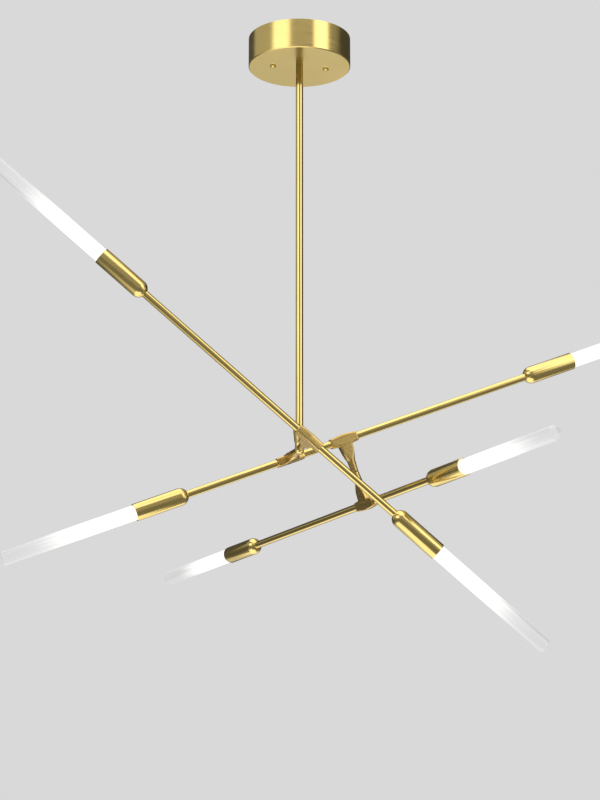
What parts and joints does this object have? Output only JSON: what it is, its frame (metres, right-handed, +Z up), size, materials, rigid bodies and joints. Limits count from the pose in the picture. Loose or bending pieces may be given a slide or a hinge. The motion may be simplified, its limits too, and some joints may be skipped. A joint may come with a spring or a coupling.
{
  "type": "sputnik chandelier",
  "caption": "Ceiling light with a round brass canopy, a thin stem and swivelling crossed rods, each with a brass cup and a long glass light rod at both ends.",
  "frame": {"origin": "centre of the canopy's top rim and of the strap's two box holes, on the ceiling plane", "axes": "+Z up into the ceiling along the stem, +X to the right and -Y towards the viewer of the picture; the light hangs down to -Z"},
  "size_m": [0.909, 0.776, 0.8085],
  "materials": {
    "brushed_brass": "brushed satin",
    "etched_glass": "frosted at the cup fading to clear at the tip",
    "silicone": "matt",
    "module_metal": "turned",
    "driver_case": "matt",
    "zinc_steel": "zinc plated",
    "ground_screw": "green",
    "nylon": "matt"
  },
  "bodies": {
    "fixture": {"canopy_cup": "brushed_brass", "mounting_strap": "zinc_steel", "canopy_screws": "brushed_brass", "ground_screw": "ground_screw", "led_driver": "driver_case", "stem_nipple": "brushed_brass", "nut_washer": "zinc_steel", "nipple_locknut": "zinc_steel", "stem_tube": "brushed_brass", "stem_coupling": "brushed_brass"},
    "hub": {"swivel_hub": "brushed_brass", "stem_swivel_stud": "brushed_brass", "stem_washer": "nylon", "hub_stud_a": "brushed_brass", "hub_stud_b": "brushed_brass", "hub_washer_a": "nylon", "hub_washer_b": "nylon"},
    "arm_a": {"arm_rod_a": "brushed_brass", "holder_a1": "brushed_brass", "led_module_a1": "module_metal", "glass_sleeve_a1": "silicone", "glass_rod_a1": "etched_glass", "holder_a2": "brushed_brass", "led_module_a2": "module_metal", "glass_sleeve_a2": "silicone", "glass_rod_a2": "etched_glass", "saddle_a": "brushed_brass"},
    "arm_b": {"arm_rod_b": "brushed_brass", "holder_b1": "brushed_brass", "led_module_b1": "module_metal", "glass_sleeve_b1": "silicone", "glass_rod_b1": "etched_glass", "holder_b2": "brushed_brass", "led_module_b2": "module_metal", "glass_sleeve_b2": "silicone", "glass_rod_b2": "etched_glass", "saddle_b_hub": "brushed_brass", "saddle_b_link": "brushed_brass", "link_washer": "nylon", "link_stud": "brushed_brass"},
    "arm_c": {"arm_rod_c": "brushed_brass", "holder_c1": "brushed_brass", "led_module_c1": "module_metal", "glass_sleeve_c1": "silicone", "glass_rod_c1": "etched_glass", "holder_c2": "brushed_brass", "led_module_c2": "module_metal", "glass_sleeve_c2": "silicone", "glass_rod_c2": "etched_glass", "saddle_c": "brushed_brass"}
  },
  "joints": [
    {"name": "stem_swivel", "type": "hinge", "parent": "fixture", "child": "hub", "pos_m": [0, 0, -0.554], "axis": [0, 0, 1], "range_deg": [-170, 170]},
    {"name": "arm_a_swing", "type": "hinge", "parent": "hub", "child": "arm_a", "pos_m": [0, 0, -0.554], "axis": [0.2215, -0.9751, 0], "range_deg": [-35, 4]},
    {"name": "arm_b_swing", "type": "hinge", "parent": "hub", "child": "arm_b", "pos_m": [0, 0, -0.554], "axis": [0.2215, -0.9751, 0], "range_deg": [-4, 30]},
    {"name": "arm_c_swing", "type": "hinge", "parent": "arm_b", "child": "arm_c", "pos_m": [0.07118, 0.07608, -0.56556], "axis": [0.3374, 0.1821, -0.9236], "range_deg": [-90, 8]}
  ]
}
